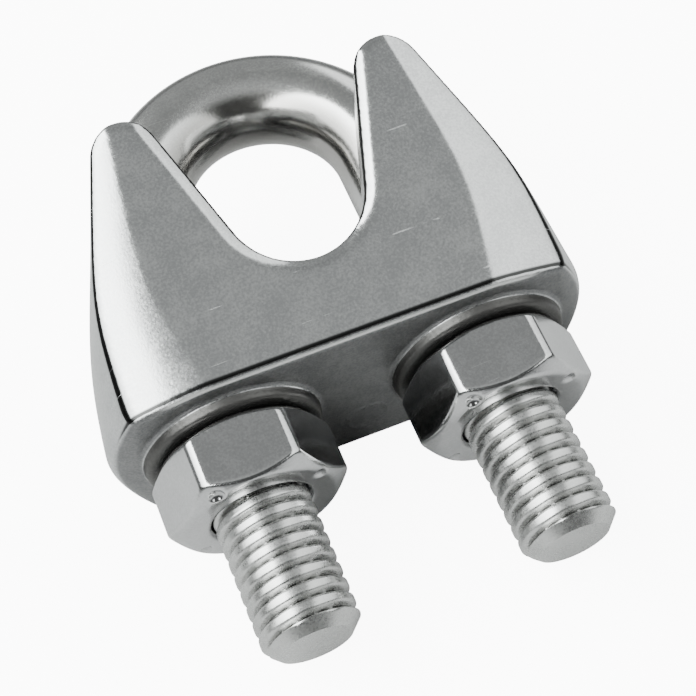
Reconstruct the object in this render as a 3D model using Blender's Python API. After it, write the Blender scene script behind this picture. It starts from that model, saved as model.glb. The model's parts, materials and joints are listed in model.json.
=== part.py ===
"""Wire rope clip: cast saddle, threaded U-bolt and two hexagon nuts.

The clip is modelled in its own upright frame, then an empty lays it on the flat back of the
saddle. In the upright frame X runs from the left leg to the right leg, Y from the front horns
to the back horns, and Z along the legs from their cut ends up to the bow.
"""
import math

import bmesh
import bpy
from mathutils import Matrix, Vector

MM = 0.001

# U-bolt (millimetres)
LEG_SPACING = 16.0
ROD_R = 3.0
BOW_Z = 29.35
BOW_R = LEG_SPACING / 2
LEG_X = LEG_SPACING / 2

# M6 x 1 coarse thread, right-handed
PITCH = 1.0
CREST_R = 3.0
ROOT_R = 2.42
LEG_END_R = 2.4
THREAD_TOP = 17.0
RUN_OUT_R = 2.85
# share of one pitch and share of the thread's height, going up the leg
THREAD_FORM = ((0.0, 0.0), (0.25, 0.0), (0.5625, 1.0), (0.6875, 1.0))
THREAD_SIDES = 16
NUT_THREAD_CLEARANCE = 0.2

# saddle
UNDERSIDE_Z = 13.9
SEAT_Z = 13.15
SEAT_R = 5.6
RIDGE_HALF = 7.0
RIDGE_Z = 14.0
WALL_FLARE = 0.234
TIP_Z = 30.85
TIP_X = 8.25
FLANK_R = 11.5
LEG_HOLE_R = 3.35
SLOT_HALF = 3.4
SLOT_BOTTOM_Z = 22.5
NOTCH_R = 4.25
NOTCH_FLOOR_Z = 19.3
NOTCH_TOP = (6.05, 29.25)
TIP_ROUND_R = 2.2

# hexagon nuts
NUT_AF = 10.0
NUT_CORNER_R = 0.8
NUT_BOTTOM_Z = 8.65
NUT_TOP_Z = 12.85
NUT_FACE_R = 4.7
NUT_CHAMFER_SLOPE = 0.74
NUT_BORE_R = 2.5
COUNTERSINK_R = 3.3
NUT_TURN = {"nut_left": -1.2, "nut_right": -4.5}

# half-width of the saddle's front corner line, and how far its end bulges past it, against height
CORNER_LINE = ((13.9, 13.2), (15.0, 13.3), (18.0, 13.35), (20.0, 13.15), (22.0, 12.75), (24.0, 12.15),
               (27.0, 11.15), (29.4, 10.3), (30.1, 9.9), (30.6, 9.3), (30.85, 8.5))
END_BULGE = ((13.9, 2.2), (18.0, 1.8), (22.0, 1.4), (25.0, 1.0), (28.0, 0.7), (30.0, 0.4), (30.85, 0.2))
FLANK_WIDTH = ((13.9, 4.8), (22.0, 3.0), (25.0, 1.9), (29.0, 0.6), (30.85, 0.3))
END_ROUND = 1.4
RIDGE_ROUND = 0.45

LAY_BACK = math.atan(WALL_FLARE)


def clear_scene():
    for obj in list(bpy.data.objects):
        bpy.data.objects.remove(obj, do_unlink=True)


def between(table, z):
    """Straight-line reading of a (height, value) table."""
    for (z0, v0), (z1, v1) in zip(table, table[1:]):
        if z <= z1:
            return v0 + (v1 - v0) * max(0.0, (z - z0) / (z1 - z0))
    return table[-1][1]


def metal(name, colour, roughness):
    mat = bpy.data.materials.new(name)
    mat.use_nodes = True
    shader = mat.node_tree.nodes["Principled BSDF"]
    shader.inputs["Base Color"].default_value = (*colour, 1.0)
    shader.inputs["Metallic"].default_value = 1.0
    shader.inputs["Roughness"].default_value = roughness
    return mat


def object_from(bm, name, parent, mat=None, location=(0.0, 0.0, 0.0)):
    """Turns millimetre bmesh geometry into a named object of metres under the clip's frame."""
    bmesh.ops.recalc_face_normals(bm, faces=bm.faces)
    bmesh.ops.scale(bm, vec=(MM, MM, MM), verts=bm.verts)
    mesh = bpy.data.meshes.new(name)
    bm.to_mesh(mesh)
    bm.free()
    mesh.shade_smooth()
    mesh.set_sharp_from_angle(angle=math.radians(35.0))
    obj = bpy.data.objects.new(name, mesh)
    bpy.context.scene.collection.objects.link(obj)
    obj.parent = parent
    obj.location = [c * MM for c in location]
    if mat:
        mesh.materials.append(mat)
    return obj


def as_tool(obj):
    obj.hide_render = True
    obj.display_type = "WIRE"
    return obj


def boolean(obj, tool, operation):
    mod = obj.modifiers.new(tool.name, "BOOLEAN")
    mod.operation = operation
    mod.solver = "EXACT"
    mod.object = as_tool(tool)


def rings_to_solid(rings):
    """Closed body through rings of points that all have the same count."""
    bm = bmesh.new()
    rows = [[bm.verts.new(p) for p in ring] for ring in rings]
    count = len(rows[0])
    for low, high in zip(rows, rows[1:]):
        for i in range(count):
            j = (i + 1) % count
            bm.faces.new((low[i], low[j], high[j], high[i]))
    bm.faces.new(rows[0])
    bm.faces.new(rows[-1])
    return bm


def turned(profile, sides):
    """Rings of a body turned about Z, one for each (radius, height)."""
    return [[(r * math.cos(a), r * math.sin(a), z) for a in
             (2.0 * math.pi * k / sides for k in range(sides))] for r, z in profile]


def closed_ring(profile, sides):
    """Turned body with a hole through it: the profile's last ring joins its first."""
    bm = bmesh.new()
    rows = [[bm.verts.new(p) for p in ring] for ring in turned(profile, sides)]
    for low, high in zip(rows, rows[1:] + rows[:1]):
        for i in range(sides):
            j = (i + 1) % sides
            bm.faces.new((low[i], low[j], high[j], high[i]))
    return bm


def prism(outline, axis, low, high):
    """Outline points (u, v) pushed along X (axis 0) or Y (axis 1) from low to high."""
    place = (lambda u, v, w: (w, u, v)) if axis == 0 else (lambda u, v, w: (u, w, v))
    return rings_to_solid([[place(u, v, w) for u, v in outline] for w in (low, high)])


def helical_body(z_start, turns, radius_at):
    """Threaded bar: points follow the helix, and radius_at(share, z) gives each one's radius."""
    bm = bmesh.new()
    steps = len(THREAD_FORM)
    columns = []
    for c in range(THREAD_SIDES):
        angle = 2.0 * math.pi * c / THREAD_SIDES
        column = []
        for row in range(turns * steps + 1):
            turn, step = divmod(row, steps)
            z = z_start + PITCH * (turn + THREAD_FORM[step][0] + c / THREAD_SIDES)
            r = radius_at(THREAD_FORM[step][1], z)
            column.append(bm.verts.new((r * math.cos(angle), r * math.sin(angle), z)))
        columns.append(column)
    last = turns * steps
    for c in range(THREAD_SIDES - 1):
        for row in range(last):
            bm.faces.new((columns[c][row], columns[c + 1][row], columns[c + 1][row + 1],
                          columns[c][row + 1]))
    for row in range(last - steps):
        bm.faces.new((columns[-1][row], columns[0][row + steps], columns[0][row + steps + 1],
                      columns[-1][row + 1]))
    foot = [column[0] for column in columns] + [columns[0][k] for k in range(steps, 0, -1)]
    head = [column[last] for column in columns] + [columns[-1][last - k] for k in range(1, steps + 1)]
    for loop in (foot, head):
        centre = bm.verts.new((0.0, 0.0, sum(v.co.z for v in loop) / len(loop)))
        for i, vert in enumerate(loop):
            bm.faces.new((vert, loop[(i + 1) % len(loop)], centre))
    return bm


def leg_radius(share, z):
    """Radius of the leg's thread: a 45 degree end chamfer, and a plain neck where it runs out."""
    r = ROOT_R + (CREST_R - ROOT_R) * share
    r = min(r, LEG_END_R + max(z, -0.5))
    return min(r, RUN_OUT_R) if z > THREAD_TOP - 0.5 * PITCH else r


def tap_radius(share, z):
    return ROOT_R + (CREST_R - ROOT_R) * share + NUT_THREAD_CLEARANCE


def threaded_leg(name, parent, x):
    bm = helical_body(-1.25 * PITCH, round(THREAD_TOP / PITCH) + 2, leg_radius)
    bmesh.ops.bisect_plane(bm, geom=bm.verts[:] + bm.edges[:] + bm.faces[:], dist=1e-6,
                           plane_co=(0.0, 0.0, 0.0), plane_no=(0.0, 0.0, 1.0), clear_inner=True)
    bmesh.ops.holes_fill(bm, edges=[e for e in bm.edges if e.is_boundary])
    return object_from(bm, name, parent, location=(x, 0.0, 0.0))


def build_u_bolt(parent, mat):
    """Plain bow and shanks in one tube, with a threaded leg joined on each side."""
    sides = 16
    bend_steps = 24
    spine = [(Vector((LEG_X, 0.0, THREAD_TOP)), 0.0)]
    for k in range(bend_steps + 1):
        a = math.pi * k / bend_steps
        spine.append((Vector((BOW_R * math.cos(a), 0.0, BOW_Z + BOW_R * math.sin(a))), a))
    spine.append((Vector((-LEG_X, 0.0, THREAD_TOP)), math.pi))
    rings = []
    for centre, a in spine:
        outward = Vector((math.cos(a), 0.0, math.sin(a)))
        ring = []
        for k in range(sides):
            b = 2.0 * math.pi * k / sides
            ring.append(centre + ROD_R * (outward * math.cos(b) + Vector((0.0, 1.0, 0.0)) * math.sin(b)))
        rings.append(ring)
    bolt = object_from(rings_to_solid(rings), "u_bolt", parent, mat)
    for side, x in (("left", -LEG_X), ("right", LEG_X)):
        boolean(bolt, threaded_leg("thread_tool_" + side, parent, x), "UNION")
    return bolt


def plan_ring(z, end_in=0.0, front_in=0.0):
    """Outline of the saddle at one height: flat front, curved flank, corner line, bulged end."""
    front = RIDGE_HALF + WALL_FLARE * (z - RIDGE_Z) - front_in
    corner_x = between(CORNER_LINE, z) - 0.5 * end_in
    flank = between(FLANK_WIDTH, z)
    corner_y = front - flank * flank / (2.0 * FLANK_R)
    bulge = between(END_BULGE, z) - 0.5 * end_in
    quarter = [(0.0, front), (0.5 * (corner_x - flank), front), (corner_x - flank, front)]
    for t in (0.4, 0.72, 1.0):
        quarter.append((corner_x - flank + flank * t, front - (front - corner_y) * t * t))
    for t in (0.8, 0.6, 0.4, 0.2, 0.0):
        quarter.append((corner_x + bulge * (1.0 - t * t), corner_y * t))
    right = [(x, -y, z) for x, y in quarter]
    right += [(x, y, z) for x, y in reversed(quarter[:-1])]
    return right + [(-x, y, z) for x, y, z in reversed(right[1:-1])]


def horn_outline():
    """Front view of the saddle: round-bottomed notch between two round-topped horns."""
    centre_z = NOTCH_FLOOR_Z + NOTCH_R
    lean = math.atan2(NOTCH_TOP[0] - NOTCH_R, NOTCH_TOP[1] - centre_z)
    half = []
    for k in range(7):
        a = -0.5 * math.pi + (0.5 * math.pi - lean) * k / 6
        half.append((NOTCH_R * math.cos(a), centre_z + NOTCH_R * math.sin(a)))
    for k in range(5):
        a = math.pi - lean - (0.5 * math.pi - lean) * k / 4
        half.append((TIP_X + TIP_ROUND_R * math.cos(a), TIP_Z - TIP_ROUND_R + TIP_ROUND_R * math.sin(a)))
    half += [(TIP_X, 33.0), (18.0, 33.0), (18.0, 10.0)]
    return half + [(-x, z) for x, z in reversed(half[1:])]


def slot_outline():
    """Side view of the gap between front and back horns, where the leg stands."""
    outline = [(SLOT_HALF, 33.0), (-SLOT_HALF, 33.0)]
    for k in range(9):
        a = math.pi + math.pi * k / 8
        outline.append((SLOT_HALF * math.cos(a), SLOT_BOTTOM_Z + SLOT_HALF + SLOT_HALF * math.sin(a)))
    return outline


def build_saddle(parent, mat):
    heights = (15.3, 17.0, 18.6, 20.2, 22.0, 24.0, 25.6, 27.2, 28.6, 29.4, 30.1, 30.6, TIP_Z)
    rings = []
    for k in range(4):
        a = 0.5 * math.pi * k / 4
        z = UNDERSIDE_Z + END_ROUND * (1.0 - math.cos(a))
        drop = max(0.0, 1.0 - (z - UNDERSIDE_Z) / RIDGE_ROUND)
        rings.append(plan_ring(z, END_ROUND * (1.0 - math.sin(a)), RIDGE_ROUND * drop ** 2))
    rings += [plan_ring(z) for z in heights]
    saddle = object_from(rings_to_solid(rings), "saddle", parent, mat)
    horns = object_from(prism(horn_outline(), 1, -13.0, 13.0), "horn_tool", parent)
    boolean(saddle, horns, "INTERSECT")
    for side, x in (("left", -LEG_X), ("right", LEG_X)):
        seat = rings_to_solid(turned(((SEAT_R, SEAT_Z), (SEAT_R, UNDERSIDE_Z + 1.0)), 32))
        boolean(saddle, object_from(seat, "seat_tool_" + side, parent, location=(x, 0.0, 0.0)), "UNION")
    slot = object_from(prism(slot_outline(), 0, -17.0, 17.0), "slot_tool", parent)
    boolean(saddle, slot, "DIFFERENCE")
    for side, x in (("left", -LEG_X), ("right", LEG_X)):
        hole = rings_to_solid(turned(((LEG_HOLE_R, 10.0), (LEG_HOLE_R, 33.0)), 24))
        boolean(saddle, object_from(hole, "hole_tool_" + side, parent, location=(x, 0.0, 0.0)), "DIFFERENCE")
    return saddle


def hexagon():
    """Hexagon outline with round corners, as wide across flats as the nut."""
    to_corner = NUT_AF / 2 / math.cos(math.radians(30.0))
    centre_r = to_corner - NUT_CORNER_R / math.cos(math.radians(30.0))
    points = []
    for corner in range(6):
        middle = math.radians(60.0 * corner)
        for step in (-30.0, -10.0, 10.0, 30.0):
            a = middle + math.radians(step)
            points.append((centre_r * math.cos(middle) + NUT_CORNER_R * math.cos(a),
                           centre_r * math.sin(middle) + NUT_CORNER_R * math.sin(a)))
    return points


def build_nut(name, parent, mat, x):
    """Chamfered hexagon nut whose origin stands on the leg's axis, with a real inner thread."""
    reach = 6.4
    rise = (reach - NUT_FACE_R) * NUT_CHAMFER_SLOPE
    sink = COUNTERSINK_R - NUT_BORE_R
    height = NUT_TOP_Z - NUT_BOTTOM_Z
    profile = ((NUT_BORE_R, sink), (COUNTERSINK_R, 0.0), (NUT_FACE_R, 0.0), (reach, rise),
               (reach, height - rise), (NUT_FACE_R, height), (COUNTERSINK_R, height),
               (NUT_BORE_R, height - sink))
    nut = object_from(closed_ring(profile, 32), name, parent, mat, (x, 0.0, NUT_BOTTOM_Z))
    turn = Matrix.Rotation(math.radians(NUT_TURN[name]), 3, "Z")
    rings = [[turn @ Vector((u, v, z)) for u, v in hexagon()] for z in (-1.0, height + 1.0)]
    hexagon_tool = object_from(rings_to_solid(rings), name + "_hex_tool", parent,
                               location=(x, 0.0, NUT_BOTTOM_Z))
    boolean(nut, hexagon_tool, "INTERSECT")
    # the tap starts a whole number of pitches and the leg's own offset away, so the threads mesh
    tap = helical_body(-1.25 * PITCH + 7.0 * PITCH, 8, tap_radius)
    boolean(nut, object_from(tap, name + "_tap_tool", parent, location=(x, 0.0, 0.0)), "DIFFERENCE")
    return nut


def clip_frame():
    """Empty that lays the upright clip on the flat back of the saddle, centred on the ground."""
    frame = bpy.data.objects.new("clip_frame", None)
    bpy.context.scene.collection.objects.link(frame)
    axis_height = (RIDGE_HALF - WALL_FLARE * RIDGE_Z) * math.cos(LAY_BACK)
    bow_end = (BOW_Z + BOW_R) * math.cos(LAY_BACK) + ROD_R
    leg_end = -LEG_END_R * math.sin(LAY_BACK)
    frame.rotation_euler = (LAY_BACK - 0.5 * math.pi, 0.0, 0.0)
    frame.location = (0.0, -0.5 * (bow_end + leg_end) * MM, axis_height * MM)
    return frame


def main():
    clear_scene()
    frame = clip_frame()
    saddle_steel = metal("saddle_steel", (0.56, 0.57, 0.57), 0.28)
    bolt_steel = metal("bolt_steel", (0.62, 0.62, 0.61), 0.24)
    nut_steel = metal("nut_steel", (0.60, 0.61, 0.61), 0.18)
    build_u_bolt(frame, bolt_steel)
    build_saddle(frame, saddle_steel)
    build_nut("nut_left", frame, nut_steel, -LEG_X)
    build_nut("nut_right", frame, nut_steel, LEG_X)


main()
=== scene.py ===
"""Wire rope clip: the finished steel, a plain studio and the camera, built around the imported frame.

Shapes are worked out in the clip's own upright frame, in millimetres: X from the left leg to the
right leg, Y from the front horns to the back horns, Z along the legs from their cut ends to the
bow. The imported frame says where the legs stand, and so where the upright frame lies.
"""

import json
import math

import bpy
import numpy as np
from mathutils import Euler, Matrix, Vector


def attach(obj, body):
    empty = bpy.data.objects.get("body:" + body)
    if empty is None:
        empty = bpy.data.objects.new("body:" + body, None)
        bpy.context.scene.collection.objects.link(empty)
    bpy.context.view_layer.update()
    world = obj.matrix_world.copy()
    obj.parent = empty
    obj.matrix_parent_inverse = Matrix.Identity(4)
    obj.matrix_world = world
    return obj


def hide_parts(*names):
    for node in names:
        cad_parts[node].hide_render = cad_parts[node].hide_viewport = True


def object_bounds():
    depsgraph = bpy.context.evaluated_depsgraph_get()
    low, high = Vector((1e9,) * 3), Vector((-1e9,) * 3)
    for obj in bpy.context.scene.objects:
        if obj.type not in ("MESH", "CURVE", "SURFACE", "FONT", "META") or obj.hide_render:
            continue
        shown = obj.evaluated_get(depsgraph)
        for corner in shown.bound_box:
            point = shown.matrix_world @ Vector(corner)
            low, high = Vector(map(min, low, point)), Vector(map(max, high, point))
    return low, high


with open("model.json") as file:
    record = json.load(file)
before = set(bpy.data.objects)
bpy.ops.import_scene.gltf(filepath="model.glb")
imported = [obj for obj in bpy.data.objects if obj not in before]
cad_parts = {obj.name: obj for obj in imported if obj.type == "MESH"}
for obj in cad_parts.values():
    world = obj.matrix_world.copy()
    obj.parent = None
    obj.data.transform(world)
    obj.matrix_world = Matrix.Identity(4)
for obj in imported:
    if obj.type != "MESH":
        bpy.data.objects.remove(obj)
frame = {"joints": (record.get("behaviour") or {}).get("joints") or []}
cad_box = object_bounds()

MM = 0.001

# where the nuts' joints stand along the legs, in the upright frame
NUT_MIDDLE_Z = 10.75

# U-bolt: a round rod, threaded up to just inside the saddle
ROD_R = 3.0
BOW_Z = 29.35
PITCH = 1.0
CREST_R = 3.0
ROOT_R = 2.43
THREAD_START = 0.125
THREAD_TOP = 16.6
THREAD_RUN_OUT = 1.2
LEG_END_R = 2.25

# saddle: underside, seats and leg holes
UNDERSIDE_Z = 13.9
SEAT_Z = 13.15
SEAT_R = 5.6
SEAT_EDGE_R = 0.33
SEAT_FILLET_R = 0.35
LEG_HOLE_R = 3.35
LEG_HOLE_EDGE_R = 0.25
RING_X, RING_Y, RING_R = 0.7, 3.7, 1.35
RING_RISE = 0.11
RING_FILLET_R = 0.06

# saddle: front and back walls, which flare up from the ridges over the underside
# (a TRUE value keeps a field's distance right where a wall leans)
RIDGE_HALF = 7.0
RIDGE_Z = 14.0
RIDGE_EDGE_R = 0.42
WALL_FLARE = 0.234
WALL_TRUE = 0.972
WALL_EDGE_R = 0.33

# saddle: flanks, which lay the walls back towards the corners
FLANK_WIDTH = 4.8
FLANK_NARROWING = 0.215
FLANK_SLOPE = 0.12
FLANK_STEEPENING = 0.0075
FLANK_R = 26.0
FLANK_START = 0.04

# saddle: bulging sides, which taper to the horns and tuck in under the bulge
CORNER_X = 13.5
TAPER = 0.49
TAPER_Z = 20.5
TAPER_BEND = 1.4
BULGE = 2.15
BULGE_FADE = 0.11
SIDE_TRUE = 1.12
TUCK_Z = 15.3
TUCK_HEIGHT = 1.42
TUCK_SHARE = 0.78
TUCK_INSET = 0.12

# saddle: rope way, horns and the slots that the bow drops into
NOTCH_R = 4.25
NOTCH_FLOOR_Z = 19.3
NOTCH_LEAN = math.radians(17.6)
TIP_X = 8.35
TIP_Z = 28.75
TIP_R = 2.135
OUTER_LEAN = math.radians(19.3)
BEVEL_SLOPE = 0.62
BEVEL_DEPTH = 0.43
BEVEL_TRUE = 0.85
BEVEL_EDGE_R = 0.2
BEVEL_FADE = 0.25
SLOT_HALF = 3.4
SLOT_BOTTOM_Z = 22.5
SLOT_EDGE_R = 0.5
SADDLE_STEP = 0.2
LONG_MARK_X, LONG_MARK_Z = 6.0, 18.76

# nuts
NUT_AF = 10.0
NUT_CORNER_R = 0.8
NUT_BOTTOM_Z = 8.65
NUT_TOP_Z = 13.08
NUT_FACE_R = 4.7
NUT_CHAMFER_SLOPE = 0.74
NUT_CHAMFER_EDGE_R = 0.12
NUT_FACE_EDGE_R = 0.1
COUNTERSINK_R = 3.35
NUT_THREAD_CLEARANCE = 0.12
NUT_TURN = {"nut_left": -1.2, "nut_right": -4.5}
NUT_DOTS = ((150.0, 4.45), (242.0, 5.0), (328.0, 4.45))
DOT_R = 0.62
DOT_CENTRE_OUT = 0.42
NUT_STEP = 0.12

# studio: brightness of the sky's parts, the floor and its reach, the camera's place and turn
LEFT_BOX = 12.0
RIGHT_BOX = 2.6
SKY_DARK = 0.10
FLOOR_HALF = 2.0
FLOOR_GLOW = 9.0
FLOOR_TONE = 0.8
CAMERA_LENS = 82.76
CAMERA_PLACE = (-0.01488, -0.06647, 0.08166)
CAMERA_TURN = (41.03, 6.35, -21.01)


# ---------------------------------------------------------------- placing

def upright_matrix():
    """From the clip's upright frame, in metres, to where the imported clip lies."""
    joints = {j["name"]: j for j in frame["joints"]}
    left = Vector(joints["nut_left_turn"]["pos_m"])
    right = Vector(joints["nut_right_turn"]["pos_m"])
    up = Vector(joints["nut_left_turn"]["axis"]).normalized()
    across = (right - left).normalized()
    origin = 0.5 * (left + right) - up * NUT_MIDDLE_Z * MM
    turn = Matrix((across, up.cross(across), up)).transposed()
    return Matrix.Translation(origin) @ turn.to_4x4(), (right - left).length / MM


UPRIGHT, LEG_SPACING = upright_matrix()
LEG_X = LEG_SPACING / 2


def piece(name, points, faces, node, mat):
    """A smooth mesh from points in the upright frame, riding on the body of the node it stands for."""
    mesh = bpy.data.meshes.new(name)
    mesh.from_pydata((np.asarray(points) * MM).tolist(), [], faces)
    mesh.transform(UPRIGHT)
    mesh.validate()
    mesh.shade_smooth()
    mesh.materials.append(mat)
    obj = bpy.data.objects.new(name, mesh)
    bpy.context.scene.collection.objects.link(obj)
    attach(obj, node)
    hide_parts(node)
    return obj


# ---------------------------------------------------------------- solid fields
# A field is below zero inside the steel, zero on its skin and above zero outside, in millimetres.

def keep_both(a, b, r):
    """Where two fields are both inside, with the edge between them rounded to radius r."""
    u = np.maximum(a + r, 0.0)
    v = np.maximum(b + r, 0.0)
    return np.minimum(np.maximum(a, b), -r) + np.sqrt(u * u + v * v)


def join(a, b, r):
    """Where either field is inside, with a fillet of radius r between them."""
    return -keep_both(-a, -b, r)


def skin_of(field, low, high, step):
    """Points and four-sided faces of a field's skin, one point in each grid cell that it crosses."""
    axes = [np.arange(a, b + step, step) for a, b in zip(low, high)]
    grid = np.meshgrid(*axes, indexing="ij")
    values = field(*grid)
    inside = values < 0.0
    shape = tuple(n - 1 for n in inside.shape)
    total = np.zeros(shape + (3,))
    count = np.zeros(shape)

    def corner(offset):
        return tuple(slice(o, o + n) for o, n in zip(offset, shape))

    for axis in range(3):
        others = [a for a in range(3) if a != axis]
        for p in (0, 1):
            for q in (0, 1):
                start = [0, 0, 0]
                start[others[0]], start[others[1]] = p, q
                end = list(start)
                end[axis] = 1
                f0, f1 = values[corner(start)], values[corner(end)]
                cross = (f0 < 0.0) != (f1 < 0.0)
                share = np.where(cross, f0 / np.where(cross, f0 - f1, 1.0), 0.0)
                count += cross
                for a in range(3):
                    along = start[a] + (share if a == axis else 0.0)
                    total[..., a] += np.where(cross, along, 0.0)
    active = count > 0
    index = np.full(shape, -1)
    index[active] = np.arange(int(active.sum()))
    cells = np.argwhere(active)
    points = (cells + total[active] / count[active][:, None]) * step + np.array(low)

    faces = []
    for axis in range(3):
        u, v = (axis + 1) % 3, (axis + 2) % 3
        first = [slice(1, -1)] * 3
        first[axis] = slice(0, -1)
        second = list(first)
        second[axis] = slice(1, None)
        a, b = inside[tuple(first)], inside[tuple(second)]
        where = np.argwhere(a != b)
        base = where + np.array([0 if k == axis else 1 for k in range(3)])
        ring = []
        for du, dv in ((0, 0), (-1, 0), (-1, -1), (0, -1)):
            cell = base.copy()
            cell[:, u] += du
            cell[:, v] += dv
            ring.append(index[cell[:, 0], cell[:, 1], cell[:, 2]])
        quads = np.stack(ring, axis=1)
        out = a[where[:, 0], where[:, 1], where[:, 2]]
        quads[~out] = quads[~out][:, ::-1]
        faces.append(quads)
    faces = np.concatenate(faces)
    points = even_out(settle(field, points, 0.5 * step), faces)
    return settle(field, points, 0.5 * step), faces.tolist()


def even_out(points, faces):
    """Moves every point half-way to the middle of its neighbours."""
    total = np.zeros_like(points)
    count = np.zeros(len(points))
    for k in range(4):
        for a, b in ((faces[:, k], faces[:, (k + 1) % 4]), (faces[:, (k + 1) % 4], faces[:, k])):
            np.add.at(total, a, points[b])
            np.add.at(count, a, 1.0)
    return 0.5 * (points + total / np.maximum(count, 1.0)[:, None])


def settle(field, points, reach):
    """Moves points along the field's slope until they stand on its skin."""
    probe = 0.01
    for _ in range(4):
        x, y, z = points.T
        here = field(x, y, z)
        slope = np.stack([field(x + probe, y, z) - field(x - probe, y, z),
                          field(x, y + probe, z) - field(x, y - probe, z),
                          field(x, y, z + probe) - field(x, y, z - probe)], axis=1) / (2.0 * probe)
        size = np.maximum((slope ** 2).sum(axis=1), 0.05)
        move = -(here / size)[:, None] * slope
        length = np.sqrt((move ** 2).sum(axis=1))
        move *= np.minimum(1.0, reach / np.maximum(length, 1e-9))[:, None]
        points = points + move
    return points


# ---------------------------------------------------------------- saddle

def saddle_field(x, y, z):
    """The whole casting: walls, bulging sides and horns, then seats, the ring, slots and leg holes."""
    ax, ay = np.abs(x), np.abs(y)
    corner_x = CORNER_X - TAPER * np.logaddexp(0.0, (z - TAPER_Z) / TAPER_BEND)
    bulge = np.maximum(BULGE - BULGE_FADE * (z - UNDERSIDE_Z), 0.1)
    flank = np.clip(FLANK_WIDTH - FLANK_NARROWING * (z - UNDERSIDE_Z), 0.4, 5.0)
    front_y = RIDGE_HALF + WALL_FLARE * (z - RIDGE_Z)
    inset = FLANK_START * np.logaddexp(0.0, (ax - (corner_x - flank)) / FLANK_START)
    lay_back = FLANK_SLOPE + FLANK_STEEPENING * (z - RIDGE_Z)
    corner_y = front_y - flank * (lay_back + flank / (2.0 * FLANK_R))
    front = (ay - front_y + inset * (lay_back + inset / (2.0 * FLANK_R))) * WALL_TRUE

    tuck = np.clip((TUCK_Z - z) / TUCK_HEIGHT, 0.0, 1.0)
    swell = bulge * (1.0 - np.minimum(ay / corner_y, 1.2) ** 2)
    tucked = (1.0 - TUCK_SHARE) + TUCK_SHARE * np.sqrt(1.0 - tuck ** 2)
    side_x = corner_x + swell * tucked - TUCK_INSET * (1.0 - (ay / corner_y) ** 2) * tuck
    lean = 2.0 * bulge * ay / corner_y ** 2
    side = (ax - side_x) / np.sqrt(SIDE_TRUE + lean ** 2)

    outline, bevelled = horn_outline(ax, z, ax - swell)
    bevel = (front + BEVEL_SLOPE * bevelled + BEVEL_DEPTH) * BEVEL_TRUE
    body = keep_both(np.maximum(side, outline), front, WALL_EDGE_R)
    body = keep_both(body, bevel, BEVEL_EDGE_R)
    body = keep_both(body, UNDERSIDE_Z - z, RIDGE_EDGE_R)

    from_leg = np.hypot(ax - LEG_X, y)
    seat = keep_both(from_leg - SEAT_R, SEAT_Z - z, SEAT_EDGE_R)
    body = join(body, np.maximum(seat, z - UNDERSIDE_Z - 1.0), SEAT_FILLET_R)
    ring = np.hypot(np.hypot(x - RING_X, y - RING_Y) - RING_R, z - UNDERSIDE_Z) - RING_RISE
    body = join(body, ring, RING_FILLET_R)

    bend_z = SLOT_BOTTOM_Z + SLOT_HALF
    slot = np.where(z > bend_z, ay, np.hypot(ay, z - bend_z)) - SLOT_HALF
    body = keep_both(body, -slot, SLOT_EDGE_R)
    return keep_both(body, LEG_HOLE_R - from_leg, LEG_HOLE_EDGE_R)


def horn_outline(ax, z, tip_ax):
    """Front view: the rope way with the round top of a horn, and the same with the bevel's fading end."""
    sin_n, cos_n = math.sin(NOTCH_LEAN), math.cos(NOTCH_LEAN)
    sin_o, cos_o = math.sin(OUTER_LEAN), math.cos(OUTER_LEAN)
    rise = z - NOTCH_FLOOR_Z - NOTCH_R
    straight = ax * sin_n + rise * cos_n > 0.0
    rope_way = NOTCH_R - np.where(straight, ax * cos_n - rise * sin_n, np.hypot(ax, rise))
    u, v, w = ax - TIP_X, z - TIP_Z, tip_ax - TIP_X
    inner = (u < 0.0) & (u * sin_n + v * cos_n > 0.0)
    outer = (u >= 0.0) & (-w * sin_o + v * cos_o > 0.0)
    round_top = np.where(u < 0.0, np.hypot(u, v), np.hypot(np.maximum(w, 0.0), v)) - TIP_R
    leaning = w * cos_o + v * sin_o - TIP_R
    top = np.where(inner | outer, round_top, np.where(u < 0.0, rope_way, leaning))
    return top, np.maximum(rope_way, top - BEVEL_FADE * (1.0 + np.clip(u, 0.0, 2.5)))


def build_saddle(mat):
    low, high = (-16.1, -11.5, 12.7), (16.1, 11.5, 31.3)
    points, faces = skin_of(saddle_field, low, high, SADDLE_STEP)
    return piece("saddle_casting", points, faces, "saddle", mat)


# ---------------------------------------------------------------- U-bolt

def thread_height(phase):
    """Share of the thread's depth, from 0 in the root to 1 on the rolled, rounded crest."""
    away = np.abs((phase % 1.0) - 0.5) * 2.0
    rise = np.clip((1.0 - away) / 0.68, 0.0, 1.0)
    return 1.0 - (1.0 - rise) ** 2


def turns_up(angle, z):
    """Right-hand thread: how many turns up the thread a place is, from its angle and height."""
    return z / PITCH - angle / (2.0 * math.pi) - THREAD_START


def leg_radius(angle, z):
    """Radius of a threaded leg at an angle about its axis and a height above its cut end."""
    fade = np.clip((THREAD_TOP - z) / THREAD_RUN_OUT, 0.0, 1.0)
    height = thread_height(turns_up(angle, z))
    thread = CREST_R - (CREST_R - ROOT_R) * fade * (1.0 - height)
    return np.minimum(thread, LEG_END_R + z)


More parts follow.
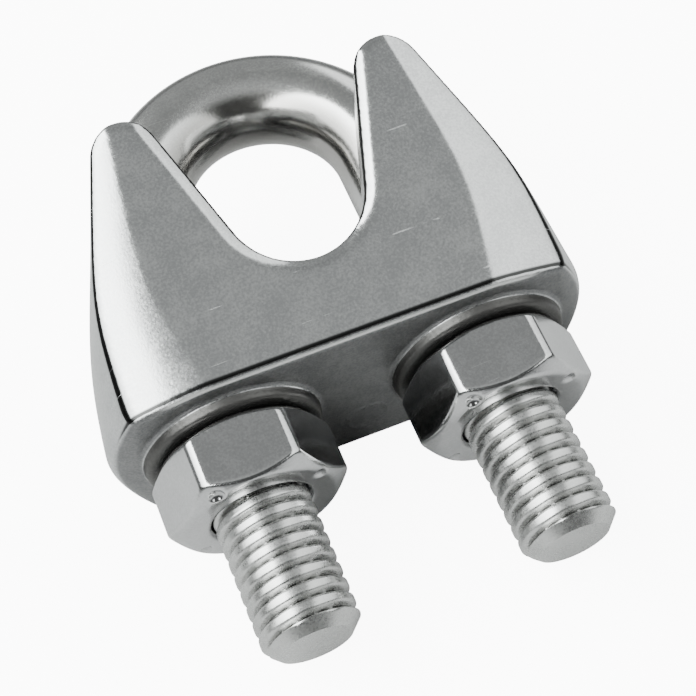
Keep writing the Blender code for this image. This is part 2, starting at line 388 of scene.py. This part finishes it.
def build_u_bolt(mat):
    around = 96
    leg_steps = np.concatenate([np.linspace(0.0, THREAD_TOP, 250), np.linspace(17.2, BOW_Z, 20)[:-1]])
    bow = np.linspace(0.0, math.pi, 120)
    b = 2.0 * math.pi * np.arange(around) / around
    rings = []
    for z in leg_steps:
        r = leg_radius(b, z)
        rings.append(np.stack([LEG_X + r * np.cos(b), r * np.sin(b), np.full(around, z)], axis=1))
    for a in bow:
        reach = LEG_X + ROD_R * np.cos(b)
        rings.append(np.stack([reach * math.cos(a), ROD_R * np.sin(b), BOW_Z + reach * math.sin(a)], axis=1))
    for z in leg_steps[::-1]:
        r = leg_radius(math.pi - b, z)
        rings.append(np.stack([-LEG_X - r * np.cos(b), r * np.sin(b), np.full(around, z)], axis=1))
    points = np.concatenate(rings)
    faces = []
    for row in range(len(rings) - 1):
        for k in range(around):
            j = (k + 1) % around
            faces.append((row * around + k, row * around + j, (row + 1) * around + j, (row + 1) * around + k))
    points = np.vstack([points, [[LEG_X, 0.0, 0.0]], [[-LEG_X, 0.0, 0.0]]])
    last = (len(rings) - 1) * around
    for k in range(around):
        j = (k + 1) % around
        faces.append((j, k, len(points) - 2))
        faces.append((last + k, last + j, len(points) - 1))
    bolt = piece("bow_and_legs", points, faces, "u_bolt", mat)
    bolt.data.set_sharp_from_angle(angle=math.radians(40.0))
    return bolt


# ---------------------------------------------------------------- nuts

def nut_field(x, y, z):
    """Nut without its thread, on the Z axis, with its lower face at height 0 and two flats square to Y."""
    height = NUT_TOP_Z - NUT_BOTTOM_Z
    radius = np.hypot(x, y)
    inner = NUT_AF / 2 - NUT_CORNER_R
    px, py = np.abs(x), np.abs(y)
    fold = np.minimum(-0.8660254 * px + 0.5 * py, 0.0)
    px, py = px + 2.0 * fold * 0.8660254, py - 2.0 * fold * 0.5
    px = px - np.clip(px, -0.57735 * inner, 0.57735 * inner)
    flats = np.hypot(px, py - inner) * np.sign(py - inner) - NUT_CORNER_R
    slope = math.hypot(1.0, NUT_CHAMFER_SLOPE)
    lower = ((radius - NUT_FACE_R) * NUT_CHAMFER_SLOPE - z) / slope
    upper = ((radius - NUT_FACE_R) * NUT_CHAMFER_SLOPE - (height - z)) / slope
    body = keep_both(keep_both(flats, lower, NUT_CHAMFER_EDGE_R), upper, NUT_CHAMFER_EDGE_R)
    body = keep_both(keep_both(body, -z, NUT_FACE_EDGE_R), z - height, NUT_FACE_EDGE_R)
    for turn, reach in NUT_DOTS:
        dot_x, dot_y = reach * math.cos(math.radians(turn)), reach * math.sin(math.radians(turn))
        rise = max(reach - NUT_FACE_R, 0.0) * NUT_CHAMFER_SLOPE
        dot = DOT_R - np.sqrt((x - dot_x) ** 2 + (y - dot_y) ** 2 + (z - rise + DOT_CENTRE_OUT) ** 2)
        body = keep_both(body, dot, 0.04)
    sink = np.minimum(z, height - z)
    return keep_both(body, (COUNTERSINK_R - sink - radius) * 0.7071, 0.08)


def build_nut(node, x, mat):
    """Nut on its leg: the flats are turned as they stand, and its thread meets the leg's."""
    height = NUT_TOP_Z - NUT_BOTTOM_Z
    turn = math.radians(NUT_TURN[node])

    def turned_nut(u, v, w):
        across = u * math.cos(turn) + v * math.sin(turn)
        along = -u * math.sin(turn) + v * math.cos(turn)
        height_in_thread = thread_height(turns_up(np.arctan2(v, u), w + NUT_BOTTOM_Z))
        thread = ROOT_R + (CREST_R - ROOT_R) * height_in_thread + NUT_THREAD_CLEARANCE
        return np.maximum(nut_field(across, along, w), thread - np.hypot(u, v))

    points, faces = skin_of(turned_nut, (-6.0, -6.0, -0.4), (6.0, 6.0, height + 0.4), NUT_STEP)
    points = points + np.array([x, 0.0, NUT_BOTTOM_Z])
    return piece(node + "_steel", points, faces, node, mat)


# ---------------------------------------------------------------- materials

class Nodes:
    """Short ways to place and join nodes in one tree."""

    def __init__(self, tree):
        self.tree = tree

    def add(self, kind, label="", **settings):
        item = self.tree.nodes.new(kind)
        item.label = label
        for key, value in settings.items():
            setattr(item, key, value)
        return item

    def join(self, source, target):
        self.tree.links.new(source, target)

    def feed(self, target, value):
        if hasattr(value, "is_linked"):
            self.join(value, target)
        else:
            target.default_value = value

    def math(self, operation, a, b=0.0, clamp=False):
        item = self.add("ShaderNodeMath", operation=operation, use_clamp=clamp)
        self.feed(item.inputs[0], a)
        self.feed(item.inputs[1], b)
        return item.outputs[0]

    def parts(self, vector):
        item = self.add("ShaderNodeSeparateXYZ")
        self.join(vector, item.inputs[0])
        return [item.outputs[k] for k in "XYZ"]

    def length(self, a, b):
        return self.math("SQRT", self.math("ADD", self.math("MULTIPLY", a, a), self.math("MULTIPLY", b, b)))

    def ramp(self, value, low, high, out_low=0.0, out_high=1.0):
        item = self.add("ShaderNodeMapRange", interpolation_type="SMOOTHSTEP")
        for socket, v in zip(item.inputs, (value, low, high, out_low, out_high)):
            self.feed(socket, v)
        return item.outputs[0]

    def mix(self, share, a, b):
        item = self.add("ShaderNodeMix", data_type="RGBA")
        self.feed(item.inputs[0], share)
        self.feed(item.inputs[6], a)
        self.feed(item.inputs[7], b)
        return item.outputs[2]

    def noise(self, place, scale, detail=3.0, roughness=0.55):
        item = self.add("ShaderNodeTexNoise")
        self.feed(item.inputs["Vector"], place)
        item.inputs["Scale"].default_value = scale
        item.inputs["Detail"].default_value = detail
        item.inputs["Roughness"].default_value = roughness
        return item.outputs["Fac"]

    def group(self, tree, label, **values):
        item = self.add("ShaderNodeGroup", label=label, node_tree=tree)
        for key, value in values.items():
            self.feed(item.inputs[key.replace("_", " ")], value)
        return item


def effect(name, inputs, outputs):
    """An empty node group with named inputs and outputs."""
    tree = bpy.data.node_groups.new(name, "ShaderNodeTree")
    for label, default in inputs:
        kind = "NodeSocketVector" if default is None else "NodeSocketFloat"
        socket = tree.interface.new_socket(label, in_out="INPUT", socket_type=kind)
        if default is not None:
            socket.default_value = default
    for label in outputs:
        tree.interface.new_socket(label, in_out="OUTPUT", socket_type="NodeSocketFloat")
    n = Nodes(tree)
    return n, n.add("NodeGroupInput").outputs, n.add("NodeGroupOutput").inputs


def make_grain():
    """Satin grain: cloudy tone, fine speckle and small pits."""
    n, given, out = effect("satin_grain", [("Place", None), ("Pit Share", 0.2)], ["Tone", "Height"])
    place = given["Place"]
    cloud = n.noise(place, 420.0, 4.0)
    speckle = n.noise(place, 6500.0, 2.0)
    cells = n.add("ShaderNodeTexVoronoi", feature="F1")
    n.join(place, cells.inputs["Vector"])
    cells.inputs["Scale"].default_value = 1500.0
    chance = n.add("ShaderNodeSeparateColor")
    n.join(cells.outputs["Color"], chance.inputs[0])
    chosen = n.math("LESS_THAN", chance.outputs[0], given["Pit Share"])
    pits = n.math("MULTIPLY", n.ramp(cells.outputs["Distance"], 0.05, 0.22, 1.0, 0.0), chosen)
    tone = n.math("ADD", n.math("MULTIPLY", cloud, 0.4), n.math("MULTIPLY", speckle, 0.6))
    n.join(tone, out["Tone"])
    n.join(n.math("SUBTRACT", speckle, pits), out["Height"])
    return n.tree


def make_scratches():
    """Fine straight scratches, long along one direction, and few enough to count."""
    n, given, out = effect("fine_scratches", [("Place", None), ("Amount", 0.5)], ["Scratch"])
    total = None
    for turn, offset in ((0.35, 0.0), (-0.6, 3.7), (1.2, 8.1)):
        lay = n.add("ShaderNodeMapping")
        n.join(given["Place"], lay.inputs["Vector"])
        lay.inputs["Location"].default_value = (offset * 0.01, 0.0, 0.0)
        lay.inputs["Rotation"].default_value = (0.0, turn, 0.2 * turn)
        lay.inputs["Scale"].default_value = (110.0, 110.0, 5200.0)
        line = n.noise(lay.outputs["Vector"], 1.0, 1.0)
        where = n.noise(given["Place"], 230.0 + 40.0 * offset, 1.0)
        mark = n.math("MULTIPLY", n.ramp(line, 0.70, 0.74), n.ramp(where, 0.58, 0.68))
        total = mark if total is None else n.math("MAXIMUM", total, mark)
    n.join(n.math("MULTIPLY", total, given["Amount"], clamp=True), out["Scratch"])
    return n.tree


def make_edge_highlight_and_shade():
    """Painted highlight where the metal is convex, and painted shade where it is hollow."""
    n, given, out = effect("painted_edge_highlight_and_shade", [("Place", None), ("Breakup", 0.4)], ["Rubbed", "Painted Shade"])
    bend = n.add("ShaderNodeNewGeometry").outputs["Pointiness"]
    rough = n.math("MULTIPLY", n.math("SUBTRACT", n.noise(given["Place"], 900.0), 0.5), given["Breakup"])
    shaken = n.math("ADD", bend, n.math("MULTIPLY", rough, 0.06))
    n.join(n.ramp(shaken, 0.512, 0.545), out["Rubbed"])
    n.join(n.ramp(shaken, 0.485, 0.44), out["Painted Shade"])
    return n.tree


class Finish:
    """A Principled material that is being made, with the shared effects at hand."""

    groups = {}

    def __init__(self, name):
        for key, make in (("grain", make_grain), ("scratches", make_scratches), ("edge_light_and_shade", make_edge_highlight_and_shade)):
            if key not in self.groups:
                self.groups[key] = make()
        self.mat = bpy.data.materials.new(name)
        self.mat.use_nodes = True
        self.n = Nodes(self.mat.node_tree)
        self.shader = self.mat.node_tree.nodes["Principled BSDF"]
        self.shader.inputs["Metallic"].default_value = 1.0
        self.shader.inputs["Specular IOR Level"].default_value = 0.5
        source = self.n.add("ShaderNodeTexCoord").outputs
        self.place = self.upright(source["Object"], UPRIGHT.translation)
        self.facing = self.upright(source["Normal"], (0.0, 0.0, 0.0))

    def upright(self, value, origin):
        """A place or a direction, seen in the clip's upright frame."""
        item = self.n.add("ShaderNodeMapping", vector_type="TEXTURE")
        item.inputs["Location"].default_value = origin
        item.inputs["Rotation"].default_value = UPRIGHT.to_euler()
        self.n.join(value, item.inputs["Vector"])
        return item.outputs["Vector"]

    def effect(self, key, **values):
        return self.n.group(self.groups[key], key, Place=self.place, **values)

    def bump(self, height, distance, strength, under=None):
        item = self.n.add("ShaderNodeBump")
        item.inputs["Distance"].default_value = distance
        item.inputs["Strength"].default_value = strength
        self.n.join(height, item.inputs["Height"])
        if under is not None:
            self.n.join(under, item.inputs["Normal"])
        return item.outputs["Normal"]

    def finish(self, colour, roughness, normal):
        self.n.join(colour, self.shader.inputs["Base Color"])
        self.n.join(roughness, self.shader.inputs["Roughness"])
        self.n.join(normal, self.shader.inputs["Normal"])
        return self.mat


def painted_dark_edge_reflection(n, x, z, turned_x, turned_y, turned_z):
    """Painted dark reflection: dark lines along the casting's outer corners, and along the ridges over its
    underside, where polished edges mirror dark surroundings.
    """
    ridge = n.ramp(z, (UNDERSIDE_Z + 0.55) * MM, (UNDERSIDE_Z + 0.40) * MM)
    to_front = n.math("ABSOLUTE", turned_y)
    turned_in = n.math("LESS_THAN", n.math("MULTIPLY", x, turned_x), 0.0)
    turned_up = n.math("GREATER_THAN", turned_z, 0.45)
    lowest = n.math("SUBTRACT", 0.55, n.math("MULTIPLY", n.math("MAXIMUM", turned_in, turned_up), 0.3))
    past_side = n.ramp(n.math("SUBTRACT", to_front, lowest), -0.04, 0.02)
    corner = n.math("MULTIPLY", n.ramp(to_front, 0.82, 0.76), past_side)
    return n.math("MULTIPLY", n.math("MAXIMUM", ridge, corner), n.ramp(turned_z, -0.62, -0.50))


def long_scratch(f, x, z, turned_y):
    """One long, broken scratch across the front wall, below the right horn."""
    n = f.n
    above = n.math("ABSOLUTE", n.math("SUBTRACT", z, LONG_MARK_Z * MM))
    along = n.math("ABSOLUTE", n.math("SUBTRACT", x, LONG_MARK_X * MM))
    mark = n.math("MULTIPLY", n.ramp(above, 0.07 * MM, 0.01 * MM), n.ramp(turned_y, -0.8, -0.9))
    mark = n.math("MULTIPLY", mark, n.ramp(along, 2.4 * MM, 1.6 * MM))
    return n.math("MULTIPLY", mark, n.ramp(n.noise(f.place, 1400.0, 1.0), 0.38, 0.55))


def blasted_skin_and_painted_shade(n, y, z, turned_z):
    """Masks of the casting's blasted skin, which is the underside, seats and slots, and of the seats. The
    darker colour they carry on the downward-facing underside and in the seats is painted shade.
    """
    underside = n.ramp(turned_z, -0.55, -0.85)
    seat = n.ramp(z, (UNDERSIDE_Z - 0.06) * MM, (UNDERSIDE_Z - 0.25) * MM)
    narrow = n.ramp(n.math("ABSOLUTE", y), (SLOT_HALF + 0.6) * MM, (SLOT_HALF - 0.1) * MM)
    high = n.ramp(z, (NOTCH_FLOOR_Z + 1.6) * MM, (NOTCH_FLOOR_Z + 2.0) * MM)
    slot = n.math("MULTIPLY", narrow, high)
    return n.math("MAXIMUM", n.math("MAXIMUM", underside, seat), slot), seat


def painted_lip_highlight(n, y, turned_z):
    """Painted highlight: the thin bright line where the underside turns up into the ridge."""
    turning = n.math("MULTIPLY", n.ramp(turned_z, -0.62, -0.70), n.ramp(turned_z, -0.97, -0.90))
    return n.math("MULTIPLY", turning, n.ramp(n.math("ABSOLUTE", y), 6.2 * MM, 6.5 * MM))


def saddle_steel():
    """Polished satin walls over a casting whose underside and slots keep their dull, blasted skin; the
    underside and seats carry painted shade, the corners and ridges a painted dark reflection, and the ridge's
    lip a painted highlight.
    """
    f = Finish("saddle_steel")
    n = f.n
    grain = f.effect("grain", Pit_Share=0.12)
    x, y, z = n.parts(f.place)
    turned_x, turned_y, turned_z = n.parts(f.facing)
    scratch = f.effect("scratches", Amount=0.8).outputs["Scratch"]
    scratch = n.math("MAXIMUM", scratch, long_scratch(f, x, z, turned_y))
    tone = n.ramp(grain.outputs["Tone"], 0.36, 0.66)
    polished = n.mix(tone, (0.475, 0.48, 0.485, 1.0), (0.61, 0.615, 0.615, 1.0))
    # painted dark reflection: near-black colour along the outer corners and the ridges over the underside
    dark_edge_reflection = painted_dark_edge_reflection(n, x, z, turned_x, turned_y, turned_z)
    polished = n.mix(dark_edge_reflection, polished, (0.045, 0.045, 0.045, 1.0))
    polished = n.mix(n.math("MULTIPLY", scratch, 0.45), polished, (0.86, 0.87, 0.87, 1.0))
    # painted shade: darker colour on the downward-facing underside and deeper still in the seats, over the
    # real blasted skin
    blasted_and_shaded, seat = blasted_skin_and_painted_shade(n, y, z, turned_z)
    blasted = n.mix(tone, (0.17, 0.17, 0.175, 1.0), (0.25, 0.25, 0.25, 1.0))
    blasted = n.mix(seat, blasted, (0.10, 0.098, 0.095, 1.0))
    # painted highlight along the lip where the underside turns up into the ridge
    blasted = n.mix(painted_lip_highlight(n, y, turned_z), blasted, (0.80, 0.80, 0.79, 1.0))
    colour = n.mix(blasted_and_shaded, polished, blasted)
    smooth = n.math("ADD", n.math("MULTIPLY", tone, 0.05), n.math("MULTIPLY", scratch, 0.2))
    rough = n.math("ADD", n.math("ADD", smooth, 0.15), n.math("MULTIPLY", blasted_and_shaded, 0.26))
    normal = f.bump(grain.outputs["Height"], 0.00002, 0.13)
    coarse = n.math("MULTIPLY", n.noise(f.place, 3200.0, 3.0), blasted_and_shaded)
    normal = f.bump(coarse, 0.00005, 0.55, normal)
    return f.finish(colour, rough, normal)


def bolt_steel():
    """Bright drawn rod, duller in the thread, with painted shade in the thread's roots and along the inner
    bend of the bow, and a painted dark reflection along the bow's outer sides.
    """
    f = Finish("bolt_steel")
    n = f.n
    grain = f.effect("grain", Pit_Share=0.1)
    scratch = f.effect("scratches", Amount=0.6).outputs["Scratch"]
    x, y, z = n.parts(f.place)
    threaded = n.ramp(z, (THREAD_TOP + 0.4) * MM, (THREAD_TOP - 0.6) * MM)
    tone = n.ramp(grain.outputs["Tone"], 0.36, 0.66)
    colour = n.mix(tone, (0.53, 0.53, 0.525, 1.0), (0.62, 0.62, 0.61, 1.0))
    off_leg = n.math("SUBTRACT", n.math("ABSOLUTE", x), LEG_X * MM)
    depth = n.length(off_leg, y)
    # painted shade: the thread's roots are darkened
    root = n.math("MULTIPLY", n.ramp(depth, (ROOT_R + 0.24) * MM, (ROOT_R + 0.04) * MM), threaded)
    root = n.math("MULTIPLY", root, n.ramp(z, 0.3 * MM, 0.9 * MM))
    colour = n.mix(n.math("MULTIPLY", root, 0.6), colour, (0.13, 0.13, 0.126, 1.0))
    from_bow = n.length(x, n.math("SUBTRACT", z, BOW_Z * MM))
    # painted shade along the inner bend of the bow
    inner = n.ramp(from_bow, (LEG_X - 0.9) * MM, (LEG_X - 1.9) * MM)
    inner = n.math("MULTIPLY", inner, n.ramp(z, (BOW_Z - 4.0) * MM, BOW_Z * MM))
    colour = n.mix(n.math("MULTIPLY", inner, 0.6), colour, (0.22, 0.206, 0.19, 1.0))
    # painted dark reflection along the outer sides of the bow
    outer = n.ramp(from_bow, (LEG_X + 2.5) * MM, (LEG_X + 2.85) * MM)
    outer = n.math("MULTIPLY", outer, n.ramp(z, (BOW_Z - 1.0) * MM, (BOW_Z + 1.0) * MM))
    colour = n.mix(n.math("MULTIPLY", outer, 0.8), colour, (0.13, 0.125, 0.12, 1.0))
    colour = n.mix(n.math("MULTIPLY", scratch, 0.6), colour, (0.8, 0.8, 0.79, 1.0))
    rough = n.math("ADD", n.math("MULTIPLY", tone, 0.06), n.math("MULTIPLY", threaded, 0.10))
    rough = n.math("ADD", rough, 0.16)
    normal = f.bump(grain.outputs["Height"], 0.00002, 0.13)
    return f.finish(colour, rough, normal)


def nut_steel():
    """Polished flats with a few turning marks and nicks, a painted highlight on the convex edges and painted
    shade in the hollows.
    """
    f = Finish("nut_steel")
    n = f.n
    grain = f.effect("grain", Pit_Share=0.03)
    scratch = f.effect("scratches", Amount=0.5).outputs["Scratch"]
    edge_light_and_shade = f.effect("edge_light_and_shade", Breakup=0.3)
    tone = n.ramp(grain.outputs["Tone"], 0.36, 0.66)
    colour = n.mix(tone, (0.50, 0.50, 0.505, 1.0), (0.58, 0.58, 0.585, 1.0))
    # painted shade in the hollows, then a painted highlight on the convex edges
    colour = n.mix(edge_light_and_shade.outputs["Painted Shade"], colour, (0.22, 0.22, 0.22, 1.0))
    colour = n.mix(edge_light_and_shade.outputs["Rubbed"], colour, (0.70, 0.70, 0.69, 1.0))
    colour = n.mix(n.math("MULTIPLY", scratch, 0.6), colour, (0.8, 0.8, 0.8, 1.0))
    smooth = n.math("ADD", n.math("MULTIPLY", tone, 0.05), n.math("MULTIPLY", scratch, 0.2))
    rough = n.math("ADD", smooth, 0.13)
    normal = f.bump(grain.outputs["Height"], 0.00002, 0.2)
    return f.finish(colour, rough, normal)


# ---------------------------------------------------------------- studio

def build_floor():
    """A pale floor that glows evenly to the eye; the steel mirrors it only near the clip, where its colour is
    a painted pool of light that fades to dark further off.
    """
    mesh = bpy.data.meshes.new("studio_floor")
    corners = [(FLOOR_HALF * a, FLOOR_HALF * b, 0.0) for a, b in ((-1, -1), (1, -1), (1, 1), (-1, 1))]
    mesh.from_pydata(corners, [], [(0, 1, 2, 3)])
    floor = bpy.data.objects.new("studio_floor", mesh)
    bpy.context.scene.collection.objects.link(floor)
    mat = bpy.data.materials.new("pale_floor")
    mat.use_nodes = True
    n = Nodes(mat.node_tree)
    shader = mat.node_tree.nodes["Principled BSDF"]
    shader.inputs["Roughness"].default_value = 0.9
    shader.inputs["Emission Color"].default_value = (1.0, 1.0, 1.0, 1.0)
    seen = n.add("ShaderNodeLightPath").outputs["Is Camera Ray"]
    n.join(n.math("MULTIPLY", seen, FLOOR_GLOW), shader.inputs["Emission Strength"])
    x, y, _ = n.parts(n.add("ShaderNodeTexCoord").outputs["Object"])
    reach = n.length(x, y)
    # painted pool of light: for reflections the floor is brighter round the clip and dark further off
    painted_light_pool = n.ramp(reach, 0.045, 0.090, 0.42, 0.05)
    unseen = n.math("SUBTRACT", 1.0, seen)
    shade = n.math("ADD", n.math("MULTIPLY", painted_light_pool, unseen), n.math("MULTIPLY", seen, FLOOR_TONE))
    n.join(shade, shader.inputs["Base Color"])
    mesh.materials.append(mat)
    floor.location.z = cad_box[0][2] - 0.0001


def build_world():
    """Soft boxes on both sides, with grey above and behind between them, and darkness in front."""
    world = bpy.data.worlds.new("studio")
    bpy.context.scene.world = world
    world.use_nodes = True
    n = Nodes(world.node_tree)
    x, y, z = n.parts(n.add("ShaderNodeTexCoord").outputs["Generated"])
    ceiling = n.math("MULTIPLY", n.ramp(z, 0.72, 0.93), n.ramp(y, -0.35, 0.35, 0.46, 0.30))
    behind = n.math("MULTIPLY", n.ramp(y, 0.15, 0.55, 0.0, 0.33), n.ramp(z, 0.0, 0.12))
    left = n.math("MULTIPLY", n.ramp(x, -0.33, -0.36), n.ramp(z, 0.34, 0.42))
    right = n.math("MULTIPLY", n.ramp(x, 0.40, 0.46), n.ramp(z, 0.20, 0.28))
    between = n.math("SUBTRACT", 1.0, n.math("ADD", left, right))
    light = n.math("ADD", n.math("MULTIPLY", n.math("MAXIMUM", ceiling, behind), between), SKY_DARK)
    left = n.math("MULTIPLY", left, n.ramp(x, -0.35, -1.0, 1.0, 0.35))
    right = n.math("MULTIPLY", right, n.ramp(x, 0.4, 1.0, 1.0, 0.7))
    light = n.math("ADD", light, n.math("MULTIPLY", left, LEFT_BOX))
    light = n.math("ADD", light, n.math("MULTIPLY", right, RIGHT_BOX))
    backdrop = world.node_tree.nodes["Background"]
    backdrop.inputs["Color"].default_value = (0.965, 1.0, 0.985, 1.0)
    n.join(light, backdrop.inputs["Strength"])


def build_camera():
    data = bpy.data.cameras.new("camera")
    data.lens = CAMERA_LENS
    data.sensor_width = 36.0
    data.clip_start = 0.001
    camera = bpy.data.objects.new("camera", data)
    bpy.context.scene.collection.objects.link(camera)
    camera.location = CAMERA_PLACE
    camera.rotation_euler = Euler([math.radians(a) for a in CAMERA_TURN])
    bpy.context.scene.camera = camera


def main():
    build_saddle(saddle_steel())
    build_u_bolt(bolt_steel())
    steel = nut_steel()
    build_nut("nut_left", -LEG_X, steel)
    build_nut("nut_right", LEG_X, steel)
    build_floor()
    build_world()
    build_camera()


main()
